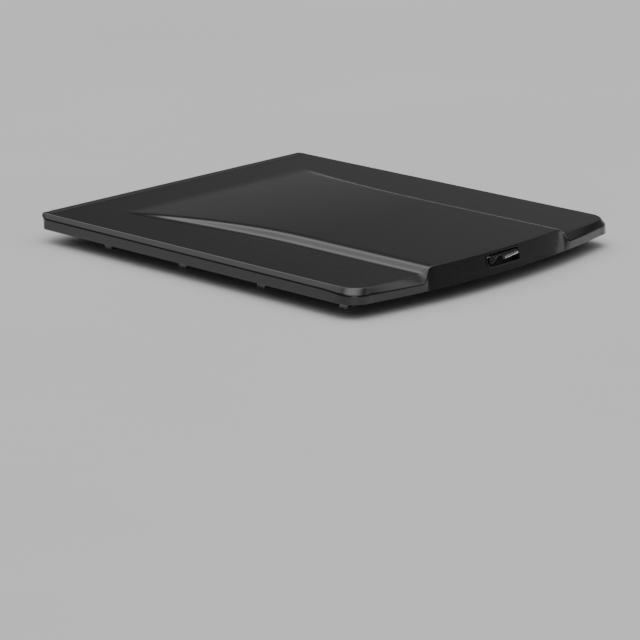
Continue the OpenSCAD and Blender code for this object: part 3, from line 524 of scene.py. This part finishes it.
FACE = Matrix.Translation((0, FACE_Y, FACE_Z)) @ Matrix.Rotation(FACE_TILT, 4, "X")


def outline(left, right, low, top, r_left, r_right, steps=10):
    """Rounded rectangle in the rear face's X and Z, its own radius at each end."""
    pts = []
    corners = (
        (right - r_right, top - r_right, r_right, 0),
        (left + r_left, top - r_left, r_left, 90),
        (left + r_left, low + r_left, r_left, 180),
        (right - r_right, low + r_right, r_right, 270),
    )
    for cx, cz, r, a0 in corners:
        for k in range(steps + 1):
            a = math.radians(a0 + 90 * k / steps)
            pts.append((cx + r * math.cos(a), cz + r * math.sin(a)))
    return pts


def prism(name, pts, y0, y1):
    n = len(pts)
    verts = [FACE @ Vector((x, y0, z)) for x, z in pts] + [FACE @ Vector((x, y1, z)) for x, z in pts]
    faces = [tuple(range(n)), tuple(range(2 * n - 1, n - 1, -1))]
    faces += [(i, i + n, (i + 1) % n + n, (i + 1) % n) for i in range(n)]
    mesh = bpy.data.meshes.new(name)
    mesh.from_pydata(verts, [], faces)
    bm = bmesh.new()
    bm.from_mesh(mesh)
    bmesh.ops.recalc_face_normals(bm, faces=bm.faces)
    bm.to_mesh(mesh)
    bm.free()
    return linked(name, mesh)


def build_skin():
    shell = linked("shell", skin_mesh())
    thick = shell.modifiers.new("thick", "SOLIDIFY")
    thick.thickness = SKIN_T
    thick.offset = -1
    thick.use_even_offset = False
    hole = outline(POCKET_LEFT, POCKET_RIGHT, POCKET_LOW, POCKET_TOP, POCKET_R_LEFT, POCKET_R_RIGHT)
    cutter = prism("cutter", hole, *POCKET_CUT)
    cut = shell.modifiers.new("cut", "BOOLEAN")
    cut.operation = "DIFFERENCE"
    cut.solver = "MANIFOLD"
    cut.object = cutter
    mesh = applied(shell)
    bpy.data.objects.remove(cutter)
    mesh.shade_smooth()
    mesh.set_sharp_from_angle(angle=SKIN_SHARP_ANGLE)
    return add_piece("lid_skin_fine", mesh, "lid", "gloss_black_paint", ("lid_skin",))


build_skin()

# ---------------------------------------------------------------- hardware with rounded edges
SOFT = {
    "handle_bezel": 0.0008, "handle": 0.0008, "handle_strip": 0.0004,
    "side_rail_l": 0.0010, "side_rail_r": 0.0010, "header_rail": 0.0010,
    "clamp_bodies": 0.0012, "clamp_jaws": 0.0012, "hinge_brackets": 0.0005, "hinge_leaves": 0.0005,
    "strut_rail_brackets": 0.0005, "strut_lid_brackets": 0.0005, "striker_brackets": 0.0005,
    "cross_ribs": 0.0015, "rear_beams": 0.0010, "corner_brackets": 0.0006, "bump_stops": 0.0008,
    "latch_case_l": 0.0004, "latch_case_r": 0.0004, "rotor_l": 0.0005, "rotor_r": 0.0005,
    "pawl_l": 0.0005, "pawl_r": 0.0005, "bellcrank": 0.0004, "bellcrank_plate": 0.0005,
    "rod_guides": 0.0008, "lamp_base": 0.0010, "lamp_lens": 0.0015,
    "frame_bolts": 0.0003, "clamp_bolts": 0.0004, "lid_bolts": 0.0003, "lock_barrel": 0.0004,
    "lock_plug": 0.0003, "strut_tube_l": 0.0006, "strut_tube_r": 0.0006,
    "tube_end_l": 0.0006, "tube_end_r": 0.0006, "rod_end_l": 0.0006, "rod_end_r": 0.0006,
    "inner_panel": 0.0008, "side_seals": 0.0006, "tailgate_seal": 0.0006, "rail_tape": 0.0006,
}
for node, width in SOFT.items():
    softened(node, width)

# ---------------------------------------------------------------- light and camera
def stage_floor():
    mesh = bpy.data.meshes.new("floor")
    r = 40.0
    mesh.from_pydata([(-r, -r, 0), (r, -r, 0), (r, r, 0), (-r, r, 0)], [], [(0, 1, 2, 3)])
    floor = linked("floor", mesh)
    mat, nodes, links, bsdf = new_material("floor")
    pos = coords(nodes, links)
    links.new(ramp(nodes, links, noise(nodes, links, pos, 0.35, 4), [(0.3, 0.78), (0.7, 0.82)]),
              bsdf.inputs["Base Color"])
    bsdf.inputs["Roughness"].default_value = 0.7
    bsdf.inputs["Specular IOR Level"].default_value = 0.2
    mesh.materials.append(mat)


# Brightness of the studio dome by the sine of the elevation
DOME_LEVELS = [
    (0.0, 0.17), (0.12, 0.12), (0.20, 0.08), (0.28, 0.031), (0.40, 0.040), (0.6, 0.22), (1.0, 0.6),
]
# Soft boxes of the studio dome: direction, angles of full and no light in degrees, brightness
LOBES = [
    ((0.18, 0.66, 0.73), 1, 17, 1.25),
    ((-0.36, 0.63, 0.68), 6, 20, 0.60),
    ((0.50, -0.60, 0.62), 8, 22, 0.70),
    ((0.0, 0.0, 1.0), 10, 38, 1.00),
    ((-0.45, -0.30, 0.84), 12, 40, 1.20),
    ((-0.68, -0.72, 0.08), 6, 20, 1.00),
    ((0.95, 0.15, 0.27), 12, 45, 0.085),
]
CAMERA_PLACE = (-9.8332, -9.1576, 3.5184)
CAMERA_DOWN, CAMERA_TURN = 0.28192, -0.81652
CAMERA_LENS, CAMERA_FILM = 162.5, 36


def world_light():
    """Studio dome: grey at the horizon, darkest a little above it, brightest overhead, with soft boxes."""
    world = bpy.data.worlds.new("studio")
    bpy.context.scene.world = world
    world.use_nodes = True
    nodes, links = world.node_tree.nodes, world.node_tree.links
    tex = nodes.new("ShaderNodeTexCoord")
    split = nodes.new("ShaderNodeSeparateXYZ")
    links.new(tex.outputs["Generated"], split.inputs[0])
    total = ramp(nodes, links, split.outputs["Z"], DOME_LEVELS)
    for direction, full, none, level in LOBES:
        dot = nodes.new("ShaderNodeVectorMath")
        dot.operation = "DOT_PRODUCT"
        dot.inputs[1].default_value = Vector(direction).normalized()
        links.new(tex.outputs["Generated"], dot.inputs[0])
        fall = nodes.new("ShaderNodeMapRange")
        fall.interpolation_type = "SMOOTHSTEP"
        fall.inputs["From Min"].default_value = math.cos(math.radians(none))
        fall.inputs["From Max"].default_value = math.cos(math.radians(full))
        fall.inputs["To Max"].default_value = level
        links.new(dot.outputs["Value"], fall.inputs["Value"])
        add = nodes.new("ShaderNodeVectorMath")
        add.operation = "ADD"
        links.new(total, add.inputs[0])
        links.new(fall.outputs["Result"], add.inputs[1])
        total = add.outputs[0]
    links.new(total, nodes["Background"].inputs["Color"])


def camera():
    cam = bpy.data.cameras.new("camera")
    obj = bpy.data.objects.new("camera", cam)
    bpy.context.scene.collection.objects.link(obj)
    obj.location = CAMERA_PLACE
    obj.rotation_euler = (math.pi / 2 - CAMERA_DOWN, 0, CAMERA_TURN)
    cam.lens = CAMERA_LENS
    cam.sensor_width = CAMERA_FILM
    bpy.context.scene.camera = obj


stage_floor()
world_light()
camera()
